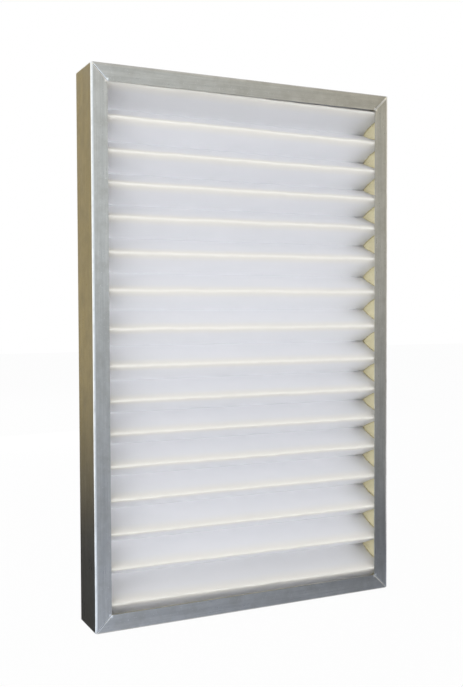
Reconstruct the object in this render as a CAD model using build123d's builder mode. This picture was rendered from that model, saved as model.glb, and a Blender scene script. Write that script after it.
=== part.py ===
from build123d import *
from math import asin, atan2, degrees, hypot, pi, sin, sqrt
import os

# Pleated panel air filter in a folded sheet-metal channel frame.
# All sizes are in millimetres. X runs across the panel, Y through its depth and Z up.
# The origin is the middle of the bottom web's outer face, and the air enters at -Y.

# Frame: one strip of galvanised sheet, rolled to a channel and folded round the pleats
frame_width = 335.0
frame_height = 540.0
frame_depth = 48.0
sheet = 0.7
flange_reach = 16.5
bend_radius = 1.4
corner_radius = 1.6
mitre_gap = 0.4
mitre_stop = 1.9

# Closing corner, at the top of the right side: the top side's end goes inside the right side's
lap_clearance = 0.1
tab_length = 30.0
tab_edge_clearance = 0.8
joggle_run = 2.4
joggle_root = 2.0
lap_reach = 6.5

# Blind rivet through the right web and the tab
rivet_radius = 1.6
rivet_head_radius = 3.2
rivet_head_height = 1.0
rivet_dome_share = 0.75
rivet_bulb_radius = 2.4
rivet_bulb_length = 2.4
mandrel_radius = 0.9
mandrel_head_radius = 1.35
mandrel_head_length = 1.3
mandrel_recess = 0.3

# Pleated media: one sheet of stiff non-woven, folded to and fro from the top web to the bottom web
media_thickness = 2.0
pleat_count = 16
first_ridge_drop = 18.2
last_ridge_height = 25.0
ridge_recess = 2.8
valley_clearance = 1.8
ridge_fold_radius = 1.2
valley_fold_radius = 2.0
top_end_setback = 4.3
bottom_end_setback = 16.0
media_top_clearance = 2.8
media_bottom_clearance = 4.8

# The pleats aren't evenly spaced: how far the ridges stand above even spacing, as half waves
# over the height of the pack, longest first
pack_lift = (2.5, 2.9, 2.5, -1.4, -1.2)

# Adhesive: a poured layer along each side web, and a bead along the top and bottom webs. The bead's
# middle is in front of the media's cut end, by its lead
seal_depth = 2.0
bead_width = 12.5
bead_lead = 2.65
top_bead_height = 6.2
bottom_bead_height = 7.6
bead_corner = 2.5

# Worked out from the sizes above
front = -frame_depth / 2
back = frame_depth / 2
side = frame_width / 2
lap_step = sheet + lap_clearance
tab_half_width = frame_depth / 2 - bend_radius - tab_edge_clearance
media_half_width = side - sheet - seal_depth
crest_y = front + ridge_recess + media_thickness / 2
trough_y = back - sheet - valley_clearance - media_thickness / 2
first_ridge = frame_height - first_ridge_drop
blind_face = side - sheet - lap_step
blind_end = blind_face - rivet_bulb_length
rivet_axis = Axis((side, 0, first_ridge), (1, 0, 0))


def formed_block(inset):
    """The frame's outline as a solid block, all faces moved in by inset.

    Three corners have the fold's radius. The top right corner, where the strip's ends meet, is square.
    """
    with BuildPart() as block:
        with BuildSketch(Plane.XZ):
            with Locations((0, frame_height / 2)):
                Rectangle(frame_width - 2 * inset, frame_height - 2 * inset)
        extrude(amount=frame_depth / 2 - inset, both=True)
        folded = block.edges().filter_by(Axis.Y).sort_by(lambda e: e.center().X + e.center().Z)[:-1]
        fillet(folded, radius=corner_radius - inset)
        faces = block.faces().sort_by(Axis.Y)
        fillet(faces[0].edges() + faces[-1].edges(), radius=bend_radius - inset)
    return block.part


def closing_step():
    """The end of the top side's front flange: it steps in by one sheet, under the right flange."""
    tip = Vector(side - flange_reach, front, frame_height - flange_reach)
    across_mitre = Plane(origin=tip, x_dir=(1, 0, -1), z_dir=(1, 0, 1))
    step_end = -mitre_gap
    step_start = step_end - joggle_run
    lap_limit = flange_reach - bend_radius - lap_clearance
    with BuildPart() as step:
        with BuildSketch(across_mitre):
            with BuildLine():
                Polyline(
                    (step_start - joggle_root, 0),
                    (step_start, 0),
                    (step_end, lap_step),
                    (lap_reach, lap_step),
                    (lap_reach, lap_step + sheet),
                    (step_end, lap_step + sheet),
                    (step_start, sheet),
                    (step_start - joggle_root, sheet),
                    close=True,
                )
            make_face()
        extrude(amount=2 * flange_reach, both=True)
        with BuildSketch(Plane.XZ):
            with Locations((tip.X, tip.Z)):
                Rectangle(2 * lap_limit, lap_limit, align=(Align.CENTER, Align.MIN))
        extrude(amount=frame_depth, both=True, mode=Mode.INTERSECT)
    return step.part


front_step = closing_step()
rear_step = mirror(front_step, about=Plane.XZ)

with BuildPart() as frame:
    add(formed_block(0))
    add(formed_block(sheet), mode=Mode.SUBTRACT)
    # The opening that the front and rear flanges leave
    with BuildSketch(Plane.XZ):
        with Locations((0, frame_height / 2)):
            Rectangle(frame_width - 2 * flange_reach, frame_height - 2 * flange_reach)
    extrude(amount=frame_depth, both=True, mode=Mode.SUBTRACT)
    # Mitre slits through both flanges. Those of the three folds stop short of the web's bend
    slit_length = sqrt(2) * flange_reach
    for face_y in (front, back):
        with BuildSketch(Plane.XZ.offset(-face_y)):
            for right, up in ((-1, 1), (-1, -1), (1, -1), (1, 1)):
                closing = (right, up) == (1, 1)
                reach = slit_length + bend_radius if closing else slit_length - mitre_stop
                tip_x = right * (side - flange_reach)
                tip_z = frame_height / 2 + up * (frame_height / 2 - flange_reach)
                turn = degrees(atan2(up, right))
                with Locations(Location((tip_x, tip_z, 0), (0, 0, turn))):
                    Rectangle(reach, mitre_gap, align=(Align.MIN, Align.CENTER))
                    Rectangle(mitre_gap, mitre_gap, align=(Align.MAX, Align.CENTER))
        extrude(amount=bend_radius, both=True, mode=Mode.SUBTRACT)
    # The right web's end stands clear of the top web
    with BuildSketch(Plane.XZ):
        with Locations((side - sheet, frame_height)):
            Rectangle(lap_clearance, 2 * sheet, align=(Align.MAX, Align.CENTER))
    extrude(amount=frame_depth, both=True, mode=Mode.SUBTRACT)
    # Between the flanges the top web turns down inside the right web, as a tab
    with BuildSketch(Plane.XZ):
        with Locations((side - lap_step, frame_height)):
            Rectangle(bend_radius, bend_radius, align=(Align.MAX, Align.MAX))
    extrude(amount=tab_half_width, both=True, mode=Mode.SUBTRACT)
    with BuildSketch(Plane.XZ):
        with BuildLine():
            FilletPolyline(
                (side - lap_step - bend_radius - sheet, frame_height - sheet / 2),
                (side - lap_step - sheet / 2, frame_height - sheet / 2),
                (side - lap_step - sheet / 2, frame_height - tab_length),
                radius=bend_radius - sheet / 2,
            )
            offset(amount=sheet / 2, side=Side.BOTH)
        make_face()
    extrude(amount=tab_half_width, both=True)
    # The top flanges' ends step in and run under the right flanges
    with BuildSketch(Plane.XZ):
        with BuildLine():
            step_back = sqrt(2) * (joggle_run + mitre_gap)
            low = frame_height - flange_reach
            high = frame_height - bend_radius
            Polyline(
                (side - flange_reach - step_back, low),
                (side - flange_reach, low),
                (side - bend_radius, high),
                (side - bend_radius - step_back, high),
                close=True,
            )
        make_face()
    extrude(amount=frame_depth, both=True, mode=Mode.SUBTRACT)
    add(front_step)
    add(rear_step)
    # Rivet hole through the right web and the tab
    with BuildSketch(Plane.YZ.offset(side)):
        with Locations((0, first_ridge)):
            Circle(rivet_radius)
    extrude(amount=-2 * (sheet + lap_step), mode=Mode.SUBTRACT)
frame.part.label = "frame"

with BuildPart() as corner_rivet:
    # Half section along the rivet's axis: domed head, shank, and the bulb that the mandrel pulled up
    dome_rim = (side, first_ridge + rivet_head_radius)
    dome_middle = (
        side + rivet_dome_share * rivet_head_height,
        first_ridge + (rivet_head_radius + mandrel_radius) / 2,
    )
    dome_top = (side + rivet_head_height, first_ridge + mandrel_radius)
    with BuildSketch(Plane.XZ):
        with BuildLine():
            Polyline(
                (blind_end, first_ridge + mandrel_radius),
                (blind_end, first_ridge + rivet_radius),
                (blind_face - rivet_bulb_length / 2, first_ridge + rivet_bulb_radius),
                (blind_face, first_ridge + rivet_radius),
                (side, first_ridge + rivet_radius),
                dome_rim,
            )
            ThreePointArc(dome_rim, dome_middle, dome_top)
            Line(dome_top, (blind_end, first_ridge + mandrel_radius))
        make_face()
    revolve(axis=rivet_axis)
corner_rivet.part.label = "corner_rivet"

with BuildPart() as rivet_mandrel:
    # The mandrel's stub: broken off just inside the dome, with its head against the blind end
    with BuildSketch(Plane.XZ):
        with BuildLine():
            Polyline(
                (side + rivet_head_height - mandrel_recess, first_ridge),
                (side + rivet_head_height - mandrel_recess, first_ridge + mandrel_radius),
                (blind_end, first_ridge + mandrel_radius),
                (blind_end, first_ridge + mandrel_head_radius),
                (blind_end - mandrel_head_length, first_ridge + mandrel_head_radius),
                (blind_end - mandrel_head_length, first_ridge),
                close=True,
            )
        make_face()
    revolve(axis=rivet_axis)
rivet_mandrel.part.label = "rivet_mandrel"


def ridge_height(index):
    """Height of a ridge above the floor, counted down from the first."""
    share = index / (pleat_count - 1)
    even = first_ridge + share * (last_ridge_height - first_ridge)
    return even + sum(lift * sin(pi * half_waves * share) for half_waves, lift in enumerate(pack_lift, 1))


def flank_angle(half_pitch):
    """Angle between a flank and the Y axis: the flank is the tangent that crosses between two folds."""
    radii = ridge_fold_radius + valley_fold_radius
    centres_y = trough_y - crest_y - radii
    return atan2(half_pitch, centres_y) - asin(radii / hypot(half_pitch, centres_y))


def fold_point(y, z, half_pitch, radius):
    """The sharp corner whose fillet of the given radius just reaches the crest or trough at y."""
    overshoot = radius * (1 / sin(flank_angle(half_pitch)) - 1)
    return (y + overshoot * (1 if y > 0 else -1), z)


ridges = [ridge_height(index) for index in range(pleat_count)]
top_end_y = back - top_end_setback
bottom_end_y = back - bottom_end_setback
fold_line = [(top_end_y, frame_height - sheet - media_top_clearance)]
fold_radii = []
for upper, lower in zip(ridges, ridges[1:]):
    half_pitch = (upper - lower) / 2
    fold_line.append(fold_point(crest_y, upper, half_pitch, ridge_fold_radius))
    fold_line.append(fold_point(trough_y, (upper + lower) / 2, half_pitch, valley_fold_radius))
    fold_radii += [ridge_fold_radius, valley_fold_radius]
fold_line.append(fold_point(crest_y, ridges[-1], half_pitch, ridge_fold_radius))
fold_radii.append(ridge_fold_radius)
fold_line.append((bottom_end_y, sheet + media_bottom_clearance))

with BuildPart() as pleated_media:
    with BuildSketch(Plane.YZ):
        with BuildLine():
            FilletPolyline(*fold_line, radius=fold_radii)
            offset(amount=media_thickness / 2, side=Side.BOTH)
        make_face()
    extrude(amount=media_half_width, both=True)
pleated_media.part.label = "pleated_media"


# What the adhesive can't fill: the frame, the rivet and the thin gaps of the lap
with BuildPart() as no_adhesive:
    add([frame.part, corner_rivet.part, rivet_mandrel.part])
    with Locations((0, -lap_clearance, 0)):
        add(front_step)
    with Locations((0, lap_clearance, 0)):
        add(rear_step)


def side_seal(direction):
    """The adhesive poured along one side web, which closes the pleats' ends."""
    with BuildPart() as seal:
        add(formed_block(sheet))
        with BuildSketch(Plane.XZ):
            with Locations((direction * media_half_width, frame_height / 2)):
                align_x = Align.MIN if direction > 0 else Align.MAX
                Rectangle(side, frame_height, align=(align_x, Align.CENTER))
        extrude(amount=frame_depth, both=True, mode=Mode.INTERSECT)
        add(no_adhesive.part, mode=Mode.SUBTRACT)
    return seal.part


def end_bead(media_end_y, web_z, height):
    """The bead of adhesive that holds the media's cut end to the top or bottom web."""
    with BuildPart() as bead:
        add(formed_block(sheet))
        with BuildSketch(Plane.YZ):
            with Locations((media_end_y - bead_lead, web_z)):
                RectangleRounded(bead_width, 2 * height, radius=bead_corner)
        extrude(amount=media_half_width, both=True, mode=Mode.INTERSECT)
        add([pleated_media.part, no_adhesive.part], mode=Mode.SUBTRACT)
    return bead.part


left_seal = side_seal(-1)
left_seal.label = "left_seal"
right_seal = side_seal(1)
right_seal.label = "right_seal"
top_seal = end_bead(top_end_y, frame_height - sheet, top_bead_height)
top_seal.label = "top_seal"
bottom_seal = end_bead(bottom_end_y, sheet, bottom_bead_height)
bottom_seal.label = "bottom_seal"

os.makedirs("parts", exist_ok=True)
for piece in (
    frame.part,
    corner_rivet.part,
    rivet_mandrel.part,
    pleated_media.part,
    left_seal,
    right_seal,
    top_seal,
    bottom_seal,
):
    export_step(piece, f"parts/{piece.label}.step")
    print(piece.label, len(piece.solids()), "solid", round(piece.volume), "mm3")
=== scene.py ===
from math import asin, atan2, ceil, cos, exp, hypot, pi, radians, sin, sqrt

import bpy
import numpy as np
from mathutils import Matrix, Vector, noise


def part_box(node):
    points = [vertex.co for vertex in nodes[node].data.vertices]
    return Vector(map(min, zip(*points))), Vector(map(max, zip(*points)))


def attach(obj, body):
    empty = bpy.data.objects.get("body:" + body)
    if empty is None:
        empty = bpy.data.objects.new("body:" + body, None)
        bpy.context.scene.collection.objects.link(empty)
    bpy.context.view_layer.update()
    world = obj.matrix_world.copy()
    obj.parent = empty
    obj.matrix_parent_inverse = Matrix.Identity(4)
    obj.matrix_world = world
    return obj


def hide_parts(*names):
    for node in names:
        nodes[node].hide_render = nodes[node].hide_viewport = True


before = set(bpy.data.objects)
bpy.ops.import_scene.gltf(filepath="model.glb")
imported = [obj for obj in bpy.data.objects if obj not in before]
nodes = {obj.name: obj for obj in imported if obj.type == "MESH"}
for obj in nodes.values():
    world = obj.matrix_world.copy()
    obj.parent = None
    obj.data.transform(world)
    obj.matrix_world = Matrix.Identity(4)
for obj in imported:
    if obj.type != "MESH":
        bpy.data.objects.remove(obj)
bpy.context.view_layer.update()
MM = 0.001

# Camera, in metres and degrees: azimuth is measured from the front, to the right
CAMERA_TARGET = Vector((-0.0229, -0.0240, 0.2743))
CAMERA_DISTANCE = 0.9262
CAMERA_AZIMUTH = -25.89
CAMERA_ELEVATION = 1.98
CAMERA_ROLL = -0.21
CAMERA_LENS = 48.17
SENSOR_WIDTH = 36.0

# The frame's sheet metal, as in the CAD
SHEET = 0.7 * MM
FLANGE_REACH = 16.5 * MM
BEND_RADIUS = 1.4 * MM
CORNER_RADIUS = 1.6 * MM
MITRE_GAP = 0.4 * MM
LAP_STEP = 0.8 * MM
LAP_REACH = 6.5 * MM
JOGGLE_RUN = 2.4 * MM
TAB_LENGTH = 30.0 * MM
TAB_HALF_WIDTH = 21.8 * MM

# What rolling and folding left on the sheet: it leans in at its free edges, rolls over along the cuts
# and isn't quite flat
FLANGE_LEAN = 0.35 * MM
CUT_ROLL_DEPTH = (0.25 * MM, 0.75 * MM)
CUT_ROLL_WIDTH = (1.1 * MM, 2.4 * MM)
SHOULDER_DROP = 0.28 * MM
SHOULDER_REACH = 3.0 * MM
SHEET_WAVE = 0.10 * MM
SHEET_WAVE_LENGTH = 45.0 * MM
CLOSING_LIFT_RUN = 6.0 * MM
EDGE_ROUND = 0.35 * MM
STRIP_SPACING = 5.0 * MM
LAP_SPACING = 0.8 * MM
LAP_RUN = 24.0 * MM
LAP_CLEARANCE = 0.1 * MM
FRAME_SHARP_DEGREES = 40
TINY = 0.01 * MM

# Distances between points near a strip's end, in millimetres: close together where the metal rolls over
END_PLACES = (0.0, 0.35, 0.75, 1.2, 1.8, 2.6, 3.6, 5.0, 7.0, 9.5, 13.0)

# The pleated sheet. Its folds stand where the CAD sheet's folds stand
MEDIA_THICKNESS = 2.0 * MM
PLEAT_COUNT = 16
FIRST_RIDGE_DROP = 18.2 * MM
LAST_RIDGE_HEIGHT = 25.0 * MM
RIDGE_RADIUS = 1.2 * MM
VALLEY_RADIUS = 2.0 * MM
PACK_LIFT = (2.5 * MM, 2.9 * MM, 2.5 * MM, -1.4 * MM, -1.2 * MM)
TOP_END_SETBACK = 4.3 * MM
BOTTOM_END_SETBACK = 16.0 * MM
MEDIA_COLUMNS = 88
FLANK_SPACING = 4.6 * MM
FOLD_SPACING = 0.75 * MM
MEDIA_SHARP_DEGREES = 50

# How far the soft sheet strays from even folds
RIDGE_TILT = 2.8 * MM
RIPPLE_LONG = 0.55 * MM
RIPPLE_SHORT = 0.30 * MM
FLANK_WAVE = 0.45 * MM
FELT_TRANSLUCENCY = 0.45
RIPPLE_LONG_PERIOD = 26 * MM
RIPPLE_SHORT_PERIOD = 8 * MM
RIPPLE_ROW = 0.033
FLANK_WAVE_LENGTH = 28 * MM
FLANK_WAVE_STRETCH = 0.35
TILT_RANGE = (0.5, 0.9)
HELD_END_RUN = 6 * MM

# The adhesive along the sides: how far it climbs up the sheet's faces and soaks into its ends
SEAL_COLUMNS = 58
SEAL_ROWS = 620
SEAL_CLIMB = 2.4 * MM
SEAL_FALLOFF = 1.3 * MM
SEAL_WAVE = 0.35 * MM
SEAL_WAVE_LENGTH = 7 * MM
SEAL_SHARP_DEGREES = 70
SOAK_REACH = 3.6 * MM
SOAK_MIDDLE = -1.0 * MM
SOAK_SPREAD = 20.5 * MM


def srgb(red, green, blue):
    """A colour written as 0 to 255 screen values, as the linear colour that a shader takes."""
    def linear(value):
        value /= 255
        return value / 12.92 if value <= 0.04045 else ((value + 0.055) / 1.055) ** 2.4
    return (linear(red), linear(green), linear(blue), 1.0)


def smoothstep(low, high, value):
    share = min(1.0, max(0.0, (value - low) / (high - low)))
    return share * share * (3 - 2 * share)


def add_object(name, verts, faces, *materials):
    """A mesh object in the scene, with its materials in slot order."""
    mesh = bpy.data.meshes.new(name)
    mesh.from_pydata(verts, [], faces)
    for material in materials:
        mesh.materials.append(material)
    added = bpy.data.objects.new(name, mesh)
    bpy.context.scene.collection.objects.link(added)
    return added


# ---------------------------------------------------------------- materials

class NodeTree:
    """Short ways to add nodes and links to one material's or world's tree."""

    def __init__(self, tree):
        self.tree = tree
        self.tree.nodes.clear()

    def add(self, kind, **settings):
        node = self.tree.nodes.new(kind)
        for name, value in settings.items():
            setattr(node, name, value)
        return node

    def link(self, source, target):
        self.tree.links.new(source, target)

    def set(self, socket, value):
        """Links a socket to another node's output, or gives it a plain value."""
        if isinstance(value, bpy.types.NodeSocket):
            self.link(value, socket)
        else:
            socket.default_value = value

    def mapped(self, source, from_low, from_high, to_low, to_high):
        node = self.add("ShaderNodeMapRange")
        values = (source, from_low, from_high, to_low, to_high)
        for name, value in zip(("Value", "From Min", "From Max", "To Min", "To Max"), values):
            self.set(node.inputs[name], value)
        return node.outputs["Result"]

    def math(self, operation, *values):
        node = self.add("ShaderNodeMath", operation=operation)
        for socket, value in zip(node.inputs, values):
            self.set(socket, value)
        return node.outputs[0]

    def noise(self, scale, detail=2.0, roughness=0.5):
        """Noise over the object's own coordinates, in cells per metre along X, Y and Z."""
        coordinates = self.add("ShaderNodeTexCoord")
        mapping = self.add("ShaderNodeMapping")
        self.link(coordinates.outputs["Object"], mapping.inputs["Vector"])
        mapping.inputs["Scale"].default_value = scale
        node = self.add("ShaderNodeTexNoise")
        self.link(mapping.outputs["Vector"], node.inputs["Vector"])
        node.inputs["Scale"].default_value = 1.0
        node.inputs["Detail"].default_value = detail
        node.inputs["Roughness"].default_value = roughness
        return node.outputs["Fac"]

    def axes(self):
        """The object's own X, Y and Z, in metres."""
        coordinates = self.add("ShaderNodeTexCoord")
        parts = self.add("ShaderNodeSeparateXYZ")
        self.link(coordinates.outputs["Object"], parts.inputs[0])
        return parts.outputs

    def blended(self, factor, first, second):
        """A plain number between two others."""
        node = self.add("ShaderNodeMix", data_type="FLOAT")
        for socket, value in zip((node.inputs[0], node.inputs[2], node.inputs[3]), (factor, first, second)):
            self.set(socket, value)
        return node.outputs[0]

    def mix(self, factor, first, second):
        node = self.add("ShaderNodeMix", data_type="RGBA")
        for socket, value in zip((node.inputs[0], node.inputs[6], node.inputs[7]), (factor, first, second)):
            self.set(socket, value)
        return node.outputs[2]

    def bump(self, height, strength, distance):
        node = self.add("ShaderNodeBump")
        self.link(height, node.inputs["Height"])
        node.inputs["Strength"].default_value = strength
        node.inputs["Distance"].default_value = distance
        return node.outputs["Normal"]


def new_material(name):
    material = bpy.data.materials.new(name)
    material.use_nodes = True
    tree = NodeTree(material.node_tree)
    shader = tree.add("ShaderNodeBsdfPrincipled")
    output = tree.add("ShaderNodeOutputMaterial")
    tree.link(shader.outputs["BSDF"], output.inputs["Surface"])
    return material, tree, shader


def galvanised_steel():
    """Rolled zinc-coated sheet: fine streaks along each side's length, faint clouds and small specks, and
    painted highlights along the mitres and the long bends.
    """
    material, tree, shader = new_material("galvanised_steel")
    shader.inputs["Metallic"].default_value = 1.0
    _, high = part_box("frame")
    x, y, z = tree.axes()
    from_side = tree.math("SUBTRACT", high.x, tree.math("ABSOLUTE", x))
    from_end = tree.math("MINIMUM", z, tree.math("SUBTRACT", high.z, z))
    on_side = tree.math("GREATER_THAN", from_end, from_side)

    def streaks(across, along, detail):
        upright = tree.noise((across, across, along), detail)
        level = tree.noise((along, across, across), detail)
        return tree.blended(on_side, level, upright)

    fine = streaks(1100, 26, 3.0)
    broad = streaks(230, 9, 2.0)
    clouds = tree.noise((70, 70, 70), 4.0, 0.6)
    specks = tree.mapped(tree.noise((1500, 1500, 900), 2.0), 0.68, 0.76, 0.0, 1.0)
    tone = tree.math("ADD", tree.math("MULTIPLY", fine, 0.55), tree.math("MULTIPLY", broad, 0.45))
    sheet_tone = tree.mix(tree.mapped(tone, 0.35, 0.65, 0.0, 1.0), srgb(181, 181, 179), srgb(200, 199, 196))
    dulled = tree.mix(tree.mapped(clouds, 0.42, 0.70, 0.0, 0.5), sheet_tone, srgb(166, 164, 158))
    specked = tree.mix(specks, dulled, srgb(232, 232, 230))
    # Painted highlight along the mitres, and most at their inner tips, where the lifted cut edges catch the
    # light
    ragged = tree.mapped(clouds, 0.3, 0.6, 0.5, 1.0)
    off_mitre = tree.math("ABSOLUTE", tree.math("SUBTRACT", from_end, from_side))
    line = tree.math("MULTIPLY", tree.mapped(off_mitre, 0.7 * MM, 1.7 * MM, 1.0, 0.0), ragged)
    tip_x = tree.math("ABSOLUTE", tree.math("SUBTRACT", from_side, FLANGE_REACH - 0.8 * MM))
    tip_z = tree.math("ABSOLUTE", tree.math("SUBTRACT", from_end, FLANGE_REACH - 0.8 * MM))
    tip_highlight = tree.mapped(tree.math("MAXIMUM", tip_x, tip_z), 0.9 * MM, 2.4 * MM, 1.0, 0.0)
    # Painted highlight along the long bends, where they mirror the bright window
    past_web = tree.mapped(from_side, 1.6 * MM, 2.6 * MM, 1.0, 0.0)
    past_flange = tree.mapped(tree.math("ABSOLUTE", y), high.y - 1.6 * MM, high.y - 0.6 * MM, 0.0, 0.85)
    bend_highlight = tree.math("MULTIPLY", tree.math("MULTIPLY", past_web, past_flange), ragged)
    painted_highlight = tree.math("MAXIMUM", tree.math("MAXIMUM", line, tip_highlight), bend_highlight)
    tree.link(tree.mix(painted_highlight, specked, srgb(250, 250, 250)), shader.inputs["Base Color"])
    tree.link(tree.mapped(tree.math("ADD", fine, clouds), 0.7, 1.3, 0.27, 0.42), shader.inputs["Roughness"])
    tree.link(tree.bump(tone, 0.5, 0.00012), shader.inputs["Normal"])
    return material


def plain_metal(name, colour, roughness):
    material, tree, shader = new_material(name)
    shader.inputs["Metallic"].default_value = 1.0
    grain = tree.noise((2500, 2500, 2500), 3.0)
    tree.link(tree.mix(grain, srgb(*[0.85 * c for c in colour]), srgb(*colour)), shader.inputs["Base Color"])
    tree.link(tree.mapped(grain, 0.3, 0.7, roughness, roughness + 0.12), shader.inputs["Roughness"])
    return material


def filter_felt():
    """White non-woven: light shows through it, its ridges carry a painted warm highlight, glue soaks its
    ends and a painted shadow lines the glue's edge.
    """
    material, tree, shader = new_material("filter_felt")
    low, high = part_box("pleated_media")
    x, y, _ = tree.axes()
    fibres = tree.noise((700, 900, 900), 6.0, 0.65)
    blotches = tree.noise((25, 60, 60), 3.0)
    white = tree.mix(blotches, srgb(244, 245, 247), srgb(248, 248, 250))
    # Painted warm highlight on the ridges, where the light from above and in front falls
    ridge_highlight = tree.mapped(y, low.y + 1.0 * MM, low.y + 13.0 * MM, 0.8, 0.0)
    tint = tree.mix(ridge_highlight, white, srgb(250, 248, 242))
    # The glue soaks further in half way up the pleats than at their ridges
    from_middle = tree.math("DIVIDE", tree.math("SUBTRACT", y, SOAK_MIDDLE), SOAK_SPREAD)
    bulge = tree.math("SUBTRACT", 1.0, tree.math("MULTIPLY", from_middle, from_middle))
    ragged = tree.mapped(tree.noise((250, 420, 420), 3.0), 0.3, 0.7, -0.7 * MM, 0.9 * MM)
    reach = tree.math("ADD", tree.math("MULTIPLY", bulge, SOAK_REACH), ragged)
    into = tree.math("SUBTRACT", tree.math("ABSOLUTE", x), tree.math("SUBTRACT", high.x, reach))
    soaked = tree.mapped(into, -0.9 * MM, 0.5 * MM, 0.0, 1.0)
    tint = tree.mix(soaked, tint, srgb(228, 220, 184))
    # Painted shadow in specks along the edge of the glue, where the sheet's cut edge meets it
    at_edge = tree.mapped(tree.math("ABSOLUTE", into), 0.2 * MM, 0.9 * MM, 1.0, 0.0)
    edge_shadow = tree.mapped(tree.noise((500, 700, 700), 2.0), 0.56, 0.66, 0.0, 0.7)
    tint = tree.mix(tree.math("MULTIPLY", at_edge, edge_shadow), tint, srgb(120, 108, 92))
    normal = tree.bump(fibres, 0.35, 0.0004)
    tree.link(tint, shader.inputs["Base Color"])
    tree.link(normal, shader.inputs["Normal"])
    shader.inputs["Roughness"].default_value = 0.95
    shader.inputs["Specular IOR Level"].default_value = 0.2
    through = tree.add("ShaderNodeBsdfTranslucent")
    tree.link(tint, through.inputs["Color"])
    tree.link(normal, through.inputs["Normal"])
    blend = tree.add("ShaderNodeMixShader")
    blend.inputs[0].default_value = FELT_TRANSLUCENCY
    tree.link(shader.outputs[0], blend.inputs[1])
    tree.link(through.outputs[0], blend.inputs[2])
    output = next(node for node in tree.tree.nodes if node.type == "OUTPUT_MATERIAL")
    tree.link(blend.outputs[0], output.inputs["Surface"])
    return material


def adhesive():
    """Poured polyurethane or hot melt: cream, slightly waxy, with pinholes."""
    material, tree, shader = new_material("adhesive")
    blotches = tree.noise((90, 90, 90), 3.0)
    pinholes = tree.mapped(tree.noise((1100, 1100, 1100), 1.0), 0.30, 0.24, 0.0, 1.0)
    body = tree.mix(blotches, srgb(226, 218, 180), srgb(238, 231, 198))
    tree.link(tree.mix(pinholes, body, srgb(150, 138, 104)), shader.inputs["Base Color"])
    shader.inputs["Roughness"].default_value = 0.45
    tree.link(tree.bump(blotches, 0.3, 0.0006), shader.inputs["Normal"])
    return material


# ---------------------------------------------------------------- the frame's sheet metal

def uneven(point, wave_length, seed):
    """A smooth signed value, about -1 to 1, that wanders over the given wave length."""
    x, y, z = point
    return noise.noise(Vector((x / wave_length + seed, y / wave_length - seed, z / wave_length + 2 * seed)))


def channel_profile(half_depth):
    """The channel's outer line from one free edge to the other, as (reach from the web, y)."""
    front = [(reach, -half_depth) for reach in np.linspace(FLANGE_REACH, SHOULDER_REACH, 11)]
    front += [(reach, -half_depth) for reach in np.linspace(SHOULDER_REACH, BEND_RADIUS, 5)[1:-1]]
    for angle in np.linspace(0, pi / 2, 7):
        rise = SHOULDER_DROP + (BEND_RADIUS - SHOULDER_DROP) * (1 - cos(angle))
        front.append((BEND_RADIUS * (1 - sin(angle)), -half_depth + rise))
    web = [(0.0, y) for y in np.linspace(-TAB_HALF_WIDTH, TAB_HALF_WIDTH, 10)]
    return front + web + [(reach, -y) for reach, y in reversed(front)]


def spread(length, end_run, end_step):
    """Places along a strip, from 0 to 1: close together near both ends, and evenly fine over the end run."""
    near = [place * MM for place in END_PLACES]
    if end_run:
        tail = list(np.linspace(length - end_run, length, round(end_run / end_step) + 1))
    else:
        tail = [length - place for place in reversed(near)]
    steps = ceil((tail[0] - near[-1]) / STRIP_SPACING)
    inside = np.linspace(near[-1], tail[0], steps + 1)[1:-1]
    return [place / length for place in near + list(inside) + tail]


def joggle(from_mitre):
    """How far the top flange has stepped in, at a distance past its mitre line."""
    return LAP_STEP * smoothstep(-MITRE_GAP - JOGGLE_RUN, -MITRE_GAP, from_mitre)


def cut_roll(on_flange, from_cut):
    """How far a flange rolls in near its mitred cut. on_flange is 0 at the bend and 1 at the free edge."""
    depth = CUT_ROLL_DEPTH[0] + on_flange * (CUT_ROLL_DEPTH[1] - CUT_ROLL_DEPTH[0])
    width = CUT_ROLL_WIDTH[0] + on_flange * (CUT_ROLL_WIDTH[1] - CUT_ROLL_WIDTH[0])
    return depth * max(0.0, 1 - from_cut / width) ** 2


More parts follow.
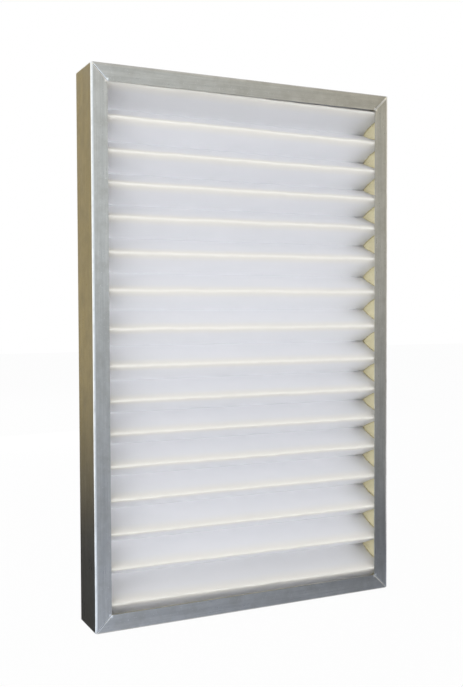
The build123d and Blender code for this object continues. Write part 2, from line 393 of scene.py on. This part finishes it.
class FrameSkin:
    """Collects the four channel strips, the folded corners and the closing tab as one open surface."""

    def __init__(self):
        _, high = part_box("frame")
        self.half_width = high.x
        self.height = high.z
        self.half_depth = high.y
        self.profile = channel_profile(self.half_depth)
        self.verts = []
        self.faces = []

    def place(self, side, along, reach, y):
        """A point of a side, by its distance from that side's left or bottom end and its reach."""
        if side == "left":
            return (-self.half_width + reach, y, along)
        if side == "right":
            return (self.half_width - reach, y, along)
        if side == "bottom":
            return (-self.half_width + along, y, reach)
        return (-self.half_width + along, y, self.height - reach)

    def inset(self, side, along, length, reach, y):
        """How far a flange's surface lies behind the channel's flat face there."""
        on_flange = max(0.0, reach - BEND_RADIUS) / (FLANGE_REACH - BEND_RADIUS)
        if on_flange == 0:
            return 0.0
        wave = SHEET_WAVE * on_flange * (1 + uneven((along, reach, y), SHEET_WAVE_LENGTH, ord(side[0])))
        shoulder = max(0.0, (SHOULDER_REACH - reach) / (SHOULDER_REACH - BEND_RADIUS))
        wave += SHOULDER_DROP * shoulder ** 2
        depth = FLANGE_LEAN * on_flange + wave + cut_roll(on_flange, (along - reach) / sqrt(2))
        past_mitre = (along + reach - length) / sqrt(2)
        if side == "top":
            return depth + joggle(past_mitre)
        if side == "right":
            rounded = EDGE_ROUND * max(0.0, 1 + past_mitre / EDGE_ROUND) ** 2
            return depth * smoothstep(0.0, CLOSING_LIFT_RUN, -past_mitre) + rounded
        return depth + cut_roll(on_flange, -past_mitre)

    def strip(self, side, length, end_of, flip, end_run=0.0):
        """One side's channel. end_of gives the strip's end for each point of the profile."""
        shares = spread(length, end_run, LAP_SPACING)
        base = len(self.verts)
        for reach, y in self.profile:
            start, end = mitred(reach), end_of(reach, y)
            inward = 1 if y < 0 else -1
            for share in shares:
                along = start + share * (end - start)
                depth = self.inset(side, along, length, reach, y)
                self.verts.append(self.place(side, along, reach, y + inward * depth))
        self.grid(base, len(self.profile), len(shares), flip)

    def grid(self, base, rows, columns, flip):
        for row in range(rows - 1):
            for column in range(columns - 1):
                a = base + row * columns + column
                face = (a, a + 1, a + columns + 1, a + columns)
                self.faces.append(face[::-1] if flip else face)

    def fold(self, centre_x, centre_z, first_angle):
        """A folded corner: the web and its bends carried round a quarter turn."""
        rows = [(reach, y) for reach, y in self.profile if reach <= BEND_RADIUS + TINY]
        angles = [radians(first_angle + 15 * step) for step in range(7)]
        base = len(self.verts)
        for reach, y in rows:
            radius = CORNER_RADIUS - reach
            for angle in angles:
                self.verts.append((centre_x + radius * cos(angle), y, centre_z + radius * sin(angle)))
        self.grid(base, len(rows), len(angles), True)

    def tab(self):
        """The top web's end, turned down inside the right web."""
        rows = [y for reach, y in self.profile if abs(y) <= TAB_HALF_WIDTH + TINY]
        outer = self.half_width - LAP_STEP
        line = [(outer - BEND_RADIUS * (1 - sin(a)), self.height - BEND_RADIUS * (1 - cos(a)))
                for a in np.linspace(0, pi / 2, 7)]
        line += [(outer, z) for z in np.linspace(self.height - BEND_RADIUS, self.height - TAB_LENGTH, 8)[1:]]
        base = len(self.verts)
        for y in rows:
            self.verts += [(x, y, z) for x, z in line]
        self.grid(base, len(rows), len(line), False)


def mitred(reach):
    """Where a strip starts or ends at a folded corner, by the reach from its web."""
    if reach <= BEND_RADIUS + TINY:
        return CORNER_RADIUS
    return max(CORNER_RADIUS, reach + MITRE_GAP / sqrt(2))


def build_frame_skin(material, cut_material):
    skin = FrameSkin()
    width, height = 2 * skin.half_width, skin.height

    def folded_end(length):
        return lambda reach, y: length - mitred(reach)

    def right_end(reach, y):
        return height - reach - (MITRE_GAP / sqrt(2) if reach > BEND_RADIUS + TINY else 0)

    def top_end(reach, y):
        if reach > BEND_RADIUS + TINY:
            return min(width - BEND_RADIUS - LAP_CLEARANCE, width - reach + LAP_REACH * sqrt(2))
        if abs(y) <= TAB_HALF_WIDTH + TINY:
            return width - LAP_STEP - BEND_RADIUS
        return width - max(reach, LAP_STEP) - MITRE_GAP / sqrt(2)

    skin.strip("left", height, folded_end(height), False)
    skin.strip("right", height, right_end, True)
    skin.strip("bottom", width, folded_end(width), True)
    skin.strip("top", width, top_end, False, LAP_RUN)
    left, right = -skin.half_width + CORNER_RADIUS, skin.half_width - CORNER_RADIUS
    skin.fold(left, CORNER_RADIUS, 180)
    skin.fold(left, height - CORNER_RADIUS, 90)
    skin.fold(right, CORNER_RADIUS, 270)
    skin.tab()
    skin_object = add_object("frame_skin", skin.verts, skin.faces, material, cut_material)
    weld = skin_object.modifiers.new("weld", "WELD")
    weld.merge_threshold = TINY
    solid = skin_object.modifiers.new("thickness", "SOLIDIFY")
    solid.thickness = SHEET
    solid.offset = -1.0
    solid.material_offset_rim = 1
    bake_modifiers(skin_object, FRAME_SHARP_DEGREES)
    return skin_object


def smooth_faces(mesh, sharp_degrees):
    """Smooths the mesh's faces and keeps edges over an angle sharp."""
    mesh.polygons.foreach_set("use_smooth", [True] * len(mesh.polygons))
    mesh.set_sharp_from_angle(angle=radians(sharp_degrees))


def bake_modifiers(shaped_object, sharp_degrees):
    """Applies the object's modifiers, smooths its faces and keeps edges over an angle sharp."""
    graph = bpy.context.evaluated_depsgraph_get()
    mesh = bpy.data.meshes.new_from_object(shaped_object.evaluated_get(graph))
    shaped_object.modifiers.clear()
    shaped_object.data = mesh
    smooth_faces(mesh, sharp_degrees)


# ---------------------------------------------------------------- the pleated sheet

def ridge_heights(height):
    """Heights of the ridges, from the top down, as the CAD sheet has them."""
    first = height - FIRST_RIDGE_DROP
    heights = []
    for index in range(PLEAT_COUNT):
        share = index / (PLEAT_COUNT - 1)
        lift = sum(size * sin(pi * (n + 1) * share) for n, size in enumerate(PACK_LIFT))
        heights.append(first + share * (LAST_RIDGE_HEIGHT - first) + lift)
    return heights


def flank_angle(half_pitch, depth):
    """Angle between a flank and the Y axis: the flank is the tangent that crosses between two folds."""
    radii = RIDGE_RADIUS + VALLEY_RADIUS
    return atan2(half_pitch, depth - radii) - asin(radii / hypot(half_pitch, depth - radii))


def pleat_section():
    """The sheet's middle line from the top end to the bottom end: (y, z, fold) points.

    fold is 1 on a ridge, -1 in a valley and between them on a flank.
    """
    low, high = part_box("pleated_media")
    half = MEDIA_THICKNESS / 2
    crest, trough = low.y + half, high.y - half
    ridges = ridge_heights(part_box("frame")[1].z)
    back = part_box("frame")[1].y
    corners = [(back - TOP_END_SETBACK, high.z - half, 0.0, 0.0, 0)]
    for index, ridge in enumerate(ridges):
        below = ridges[min(index + 1, PLEAT_COUNT - 1)]
        above = ridges[max(index - 1, 0)]
        upper = (above - ridge) / 2 or (ridge - below) / 2
        lower = (ridge - below) / 2 or upper
        corners.append((crest, ridge, upper, lower, 1))
        if index < PLEAT_COUNT - 1:
            corners.append((trough, (ridge + below) / 2, lower, lower, -1))
    corners.append((back - BOTTOM_END_SETBACK, low.z + half, 0.0, 0.0, 0))
    line = []
    for y, z, upper, lower, kind in corners:
        if kind == 0:
            line.append((y, z, 0.0))
            continue
        radius = RIDGE_RADIUS if kind == 1 else VALLEY_RADIUS
        centre = y + kind * radius
        first = pi / 2 - flank_angle(upper, trough - crest)
        last = pi / 2 - flank_angle(lower, trough - crest)
        steps = ceil(radius * (pi - first - last + pi) / 2 / FOLD_SPACING) + 2
        for turn in np.linspace(first, pi - last, steps + 1):
            line.append((centre - kind * radius * sin(turn), z + radius * cos(turn), float(kind)))
    return line


def along_line(section):
    """The section with the flanks cut into short steps, and the share of the way from fold to fold."""
    points = []
    for (y0, z0, f0), (y1, z1, f1) in zip(section, section[1:]):
        steps = max(1, ceil(hypot(y1 - y0, z1 - z0) / FLANK_SPACING))
        for step in range(steps):
            t = step / steps
            points.append((y0 + t * (y1 - y0), z0 + t * (z1 - z0), f0 + t * (f1 - f0)))
    points.append(section[-1])
    return np.array(points)


def freedom(z, low, high):
    """0 where the sheet's ends are held, rising to 1 over the run next to them."""
    return smoothstep(0.0, HELD_END_RUN, min(high.z - z, z - low.z))


def tilt(z, share, low, high):
    """How far the sheet's folds stand above level, by height and by the share of the width to the right."""
    from_middle = abs(z - (low.z + high.z) / 2) / ((high.z - low.z) / 2)
    return -RIDGE_TILT * smoothstep(*TILT_RANGE, from_middle) * share * freedom(z, low, high)


def build_media(material):
    """The pleated sheet: a grid over its length and width, strayed from even, with its real thickness."""
    low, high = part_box("pleated_media")
    line = along_line(pleat_section())
    tangent = np.gradient(line[:, :2], axis=0)
    tangent /= np.linalg.norm(tangent, axis=1)[:, None]
    normal = np.stack([tangent[:, 1], -tangent[:, 0]], 1)
    across = np.linspace(low.x, high.x, MEDIA_COLUMNS + 1)
    verts = []
    for (y, z, fold), (ny, nz) in zip(line, normal):
        free = freedom(z, low, high)
        row = round(z / RIPPLE_ROW)
        for x in across:
            flank = FLANK_WAVE * uneven((x * FLANK_WAVE_STRETCH, y, z), FLANK_WAVE_LENGTH, 5.1)
            flank = flank * (1 - abs(fold)) * free
            ripple = RIPPLE_LONG * uneven((x, 0, row), RIPPLE_LONG_PERIOD, 1.3)
            ripple += RIPPLE_SHORT * uneven((x, 0, row), RIPPLE_SHORT_PERIOD, 9.2)
            ripple *= max(0.0, fold) * free
            lift = ripple + tilt(z, x / (high.x - low.x), low, high)
            verts.append((x, y + ny * flank, z + nz * flank + lift))
    columns = len(across)
    faces = []
    for row in range(len(line) - 1):
        for column in range(columns - 1):
            a = row * columns + column
            faces.append((a, a + 1, a + columns + 1, a + columns))
    sheet = add_object("pleated_sheet", verts, faces, material)
    solid = sheet.modifiers.new("thickness", "SOLIDIFY")
    solid.thickness = MEDIA_THICKNESS
    solid.offset = 0.0
    bake_modifiers(sheet, MEDIA_SHARP_DEGREES)
    return sheet


def build_side_seal(node, name, direction, material):
    """The adhesive poured along one side: it climbs up the sheet's faces and fills its tight folds."""
    low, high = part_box(node)
    poured = high.x - low.x
    wall = high.x if direction > 0 else low.x
    line = along_line(pleat_section())
    sheet_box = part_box("pleated_media")
    line[:, 1] += [tilt(z, direction / 2, *sheet_box) for z in line[:, 1]]
    starts, steps = line[:-1, :2], np.diff(line[:, :2], axis=0)
    lengths = (steps ** 2).sum(1)
    across = np.linspace(low.y, high.y, SEAL_COLUMNS + 1)
    verts, faces = [], []
    for z in np.linspace(low.z, high.z, SEAL_ROWS + 1):
        offset = np.stack([across, np.full_like(across, z)], 1)[:, None] - starts
        share = np.clip((offset * steps).sum(2) / lengths, 0, 1)
        gap = np.sqrt(((offset - share[..., None] * steps) ** 2).sum(2)).min(1) - MEDIA_THICKNESS / 2
        for y, from_sheet in zip(across, gap):
            climb = SEAL_CLIMB * max(0.0, 1 - ((y - SOAK_MIDDLE) / SOAK_SPREAD) ** 2)
            depth = poured + climb * exp(-max(from_sheet, 0.0) / SEAL_FALLOFF)
            depth += SEAL_WAVE * uneven((0, y, z), SEAL_WAVE_LENGTH, 3.7 * direction)
            verts.append((wall - direction * depth, y, z))
        verts += [(wall, across[-1], z), (wall, across[0], z)]
    ring = len(across) + 2
    for row in range(SEAL_ROWS):
        for column in range(ring):
            a, b = row * ring + column, row * ring + (column + 1) % ring
            face = (a, b, b + ring, a + ring)
            faces.append(face if direction > 0 else face[::-1])
    ends = [tuple(range(ring)), tuple(range(SEAL_ROWS * ring, (SEAL_ROWS + 1) * ring))]
    faces += [ends[0][::-1], ends[1]] if direction > 0 else [ends[0], ends[1][::-1]]
    seal = add_object(name, verts, faces, material)
    smooth_faces(seal.data, SEAL_SHARP_DEGREES)
    return seal


# ---------------------------------------------------------------- the studio

def add_camera():
    azimuth, elevation, roll = (radians(a) for a in (CAMERA_AZIMUTH, CAMERA_ELEVATION, CAMERA_ROLL))
    back = Vector((sin(azimuth) * cos(elevation), -cos(azimuth) * cos(elevation), sin(elevation)))
    right = (-back).cross(Vector((0, 0, 1))).normalized()
    up = back.cross(right)
    rolled_right = cos(roll) * right + sin(roll) * up
    rolled_up = cos(roll) * up - sin(roll) * right
    data = bpy.data.cameras.new("camera")
    data.sensor_width = SENSOR_WIDTH
    data.lens = CAMERA_LENS
    camera = bpy.data.objects.new("camera", data)
    turned = Matrix((rolled_right, rolled_up, back)).transposed().to_4x4()
    camera.matrix_world = Matrix.Translation(CAMERA_TARGET + back * CAMERA_DISTANCE) @ turned
    bpy.context.scene.collection.objects.link(camera)
    bpy.context.scene.camera = camera


def background_share(tree):
    """1 for the rays that show the background as white: camera, glossy and transmission rays."""
    paths = tree.add("ShaderNodeLightPath")
    seen = tree.math("MAXIMUM", paths.outputs["Is Camera Ray"], paths.outputs["Is Glossy Ray"])
    return tree.math("MAXIMUM", seen, paths.outputs["Is Transmission Ray"])


FLOOR_WHITE = 0.96
FLOOR_MATTE = (0.92, 0.92, 0.92, 1)
FLOOR_REACH = 6.0


def add_floor():
    corners = [(x * FLOOR_REACH, y * FLOOR_REACH, 0) for x, y in ((-1, -1), (1, -1), (1, 1), (-1, 1))]
    floor = add_object("floor", corners, [(0, 1, 2, 3)])
    material = bpy.data.materials.new("floor")
    material.use_nodes = True
    tree = NodeTree(material.node_tree)
    matte = tree.add("ShaderNodeBsdfDiffuse")
    matte.inputs["Color"].default_value = FLOOR_MATTE
    glow = tree.add("ShaderNodeEmission")
    blend = tree.add("ShaderNodeMixShader")
    output = tree.add("ShaderNodeOutputMaterial")
    tree.link(tree.math("MULTIPLY", background_share(tree), FLOOR_WHITE), blend.inputs[0])
    tree.link(matte.outputs[0], blend.inputs[1])
    tree.link(glow.outputs[0], blend.inputs[2])
    tree.link(blend.outputs[0], output.inputs["Surface"])
    floor.data.materials.append(material)


# The studio. Lamps are (name, place, size, radiance, colour), and metal mirrors only the cards
ROOM = (0.98, 0.99, 1.02)
ROOM_STRENGTH = 0.49
LAMPS = [
    ("front", (0.0, -2.5, 0.3), (2.5, 2.5), 0.95, (1, 1, 1)),
    ("front_left", (-1.7, -1.7, 0.4), (1.6, 1.6), 1.3, (1, 1, 1)),
    ("left", (-2.3, -0.9, 0.4), (1.6, 1.6), 3.0, (1, 1, 1)),
    ("front_low", (-0.3, -1.6, 0.12), (2.4, 0.2), 2.4, (1, 1, 1)),
    ("above", (0.0, -1.6, 2.0), (1.6, 1.6), 0.5, (1, 0.98, 0.95)),
    ("behind_low", (-0.2, 1.4, 0.12), (2.4, 0.2), 3.0, (1, 1, 1)),
    ("behind_left", (-1.2, 2.0, 0.5), (2.5, 2.0), 1.7, (1, 1, 1)),
]

# What stands round the object, as metal sees it: plain colours picked for each kind of surrounding
DAYLIGHT = (1.0, 1.1, 1.2)
DUSK = (0.6, 0.65, 0.75)
WHITE_WALL = (1.0, 1.0, 0.95)
BROWN_WALL = (0.5, 0.4, 0.2)
WINDOW = (1.3, 1.35, 1.35)
DARK = (0.05, 0.05, 0.05)

# Cards that only metal sees, as (name, low left corner, edge to the right, edge upwards, rows of a left
# and a right colour from the bottom up)
CARDS = [
    ("front_card", (-0.3, -0.35, 0.0), (1.1, 0, 0), (0, 0, 0.95), [
        (DUSK, DARK),
        (DAYLIGHT, BROWN_WALL),
        (WHITE_WALL, BROWN_WALL),
    ]),
    ("window_card", (-0.7, 0.12, 0.0), (0.25, -1.5, 0), (0, 0, 0.8), 2 * [(WINDOW, WINDOW)]),
    ("back_card", (-0.8, 0.35, 0.0), (0.62, 0, 0), (0, 0, 0.7), [
        (DARK, DARK),
        *3 * [(BROWN_WALL, BROWN_WALL)],
    ]),
    ("front_floor_card", (-0.17, -0.6, 0.001), (0.62, 0, 0), (0, 0.58, 0), 2 * [(DUSK, DARK)]),
    ("left_floor_card", (-0.9, -0.9, 0.001), (0.73, 0, 0), (0, 0.88, 0), 2 * [(DAYLIGHT, DAYLIGHT)]),
    ("back_floor_card", (-0.8, -0.02, 0.001), (1.3, 0, 0), (0, 0.6, 0), 2 * [(DARK, DARK)]),
]
CARD_STEPS = 12


def add_world():
    world = bpy.data.worlds.new("studio")
    bpy.context.scene.world = world
    world.use_nodes = True
    tree = NodeTree(world.node_tree)
    room = tree.add("ShaderNodeBackground")
    room.inputs["Color"].default_value = (*ROOM, 1)
    room.inputs["Strength"].default_value = ROOM_STRENGTH
    white = tree.add("ShaderNodeBackground")
    white.inputs["Color"].default_value = (1, 1, 1, 1)
    blend = tree.add("ShaderNodeMixShader")
    output = tree.add("ShaderNodeOutputWorld")
    tree.link(background_share(tree), blend.inputs[0])
    tree.link(room.outputs[0], blend.inputs[1])
    tree.link(white.outputs[0], blend.inputs[2])
    tree.link(blend.outputs[0], output.inputs["Surface"])


def aimed(thing, location, target):
    thing.location = location
    thing.rotation_mode = "QUATERNION"
    thing.rotation_quaternion = (Vector(target) - Vector(location)).to_track_quat("-Z", "Y")
    bpy.context.scene.collection.objects.link(thing)
    return thing


MIDDLE = (0, 0, 0.27)


def add_lamp(name, location, size, radiance, colour):
    """A soft box whose face has the given radiance."""
    data = bpy.data.lights.new(name, "AREA")
    data.shape = "RECTANGLE"
    data.size, data.size_y = size
    data.energy = radiance * pi * size[0] * size[1]
    data.color = colour
    lamp = aimed(bpy.data.objects.new(name, data), location, MIDDLE)
    lamp.visible_glossy = False


def add_card(name, corner, right, up, rows):
    """A glowing card that only metal sees, shaded softly between its rows' colours."""
    verts, shades, faces = [], [], []
    for j in range(CARD_STEPS + 1):
        place = min(j / CARD_STEPS * (len(rows) - 1), len(rows) - 1 - TINY)
        lower, upper = rows[int(place)], rows[int(place) + 1]
        for i in range(CARD_STEPS + 1):
            share = i / CARD_STEPS
            verts.append(Vector(corner) + share * Vector(right) + j / CARD_STEPS * Vector(up))
            low = Vector(lower[0]).lerp(Vector(lower[1]), share)
            high = Vector(upper[0]).lerp(Vector(upper[1]), share)
            shades += [*low.lerp(high, place % 1), 1.0]
            if i < CARD_STEPS and j < CARD_STEPS:
                a = j * (CARD_STEPS + 1) + i
                faces.append((a, a + 1, a + CARD_STEPS + 2, a + CARD_STEPS + 1))
    card = add_object(name, verts, faces)
    card.data.color_attributes.new("shade", "FLOAT_COLOR", "POINT").data.foreach_set("color", shades)
    material = bpy.data.materials.new(name)
    material.use_nodes = True
    tree = NodeTree(material.node_tree)
    shade = tree.add("ShaderNodeAttribute", attribute_name="shade")
    glow = tree.add("ShaderNodeEmission")
    output = tree.add("ShaderNodeOutputMaterial")
    tree.link(shade.outputs["Color"], glow.inputs["Color"])
    tree.link(glow.outputs[0], output.inputs["Surface"])
    card.data.materials.append(material)
    for ray in ("camera", "diffuse", "transmission", "volume_scatter", "shadow"):
        setattr(card, "visible_" + ray, False)


bpy.context.scene.view_settings.view_transform = "Standard"
add_camera()
add_floor()
add_world()
for lamp in LAMPS:
    add_lamp(*lamp)
for card in CARDS:
    add_card(*card)

steel = galvanised_steel()
cut_steel = plain_metal("cut_steel", (222, 222, 220), 0.25)
frame_skin = build_frame_skin(steel, cut_steel)
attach(frame_skin, "root")
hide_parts("frame")

pleated_sheet = build_media(filter_felt())
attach(pleated_sheet, "root")
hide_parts("pleated_media")

glue = adhesive()
for node, name, direction in (("left_seal", "left_adhesive", -1), ("right_seal", "right_adhesive", 1)):
    side_seal = build_side_seal(node, name, direction, glue)
    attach(side_seal, "root")
    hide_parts(node)

finishes = {
    "corner_rivet": plain_metal("rivet_aluminium", (205, 205, 203), 0.35),
    "rivet_mandrel": plain_metal("mandrel_steel", (150, 148, 144), 0.45),
    "top_seal": glue,
    "bottom_seal": glue,
}
for name, material in finishes.items():
    nodes[name].data.materials.clear()
    nodes[name].data.materials.append(material)
